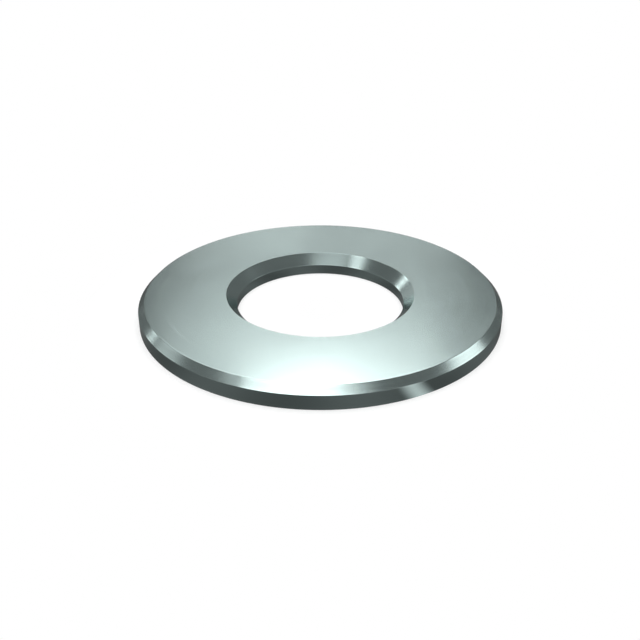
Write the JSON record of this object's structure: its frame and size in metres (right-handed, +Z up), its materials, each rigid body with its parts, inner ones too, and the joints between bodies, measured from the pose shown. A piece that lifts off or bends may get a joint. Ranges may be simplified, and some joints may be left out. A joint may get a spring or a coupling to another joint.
{
  "type": "chamfered flat washer",
  "caption": "Round flat steel washer with a clearance bore, and a 45 degree chamfer at both edges of its top face.",
  "frame": {"origin": "middle of the plain underside, on the bore's axis", "axes": "+Z runs up the bore's axis from the underside to the chamfered face; the washer is a body of revolution, so X and Y are any two directions square to it"},
  "size_m": [0.028, 0.028, 0.0016],
  "materials": {
    "steel": "satin, faintly green-grey, with fine turning marks round the axis"
  },
  "bodies": {
    "root": {"washer": "steel"}
  },
  "joints": []
}
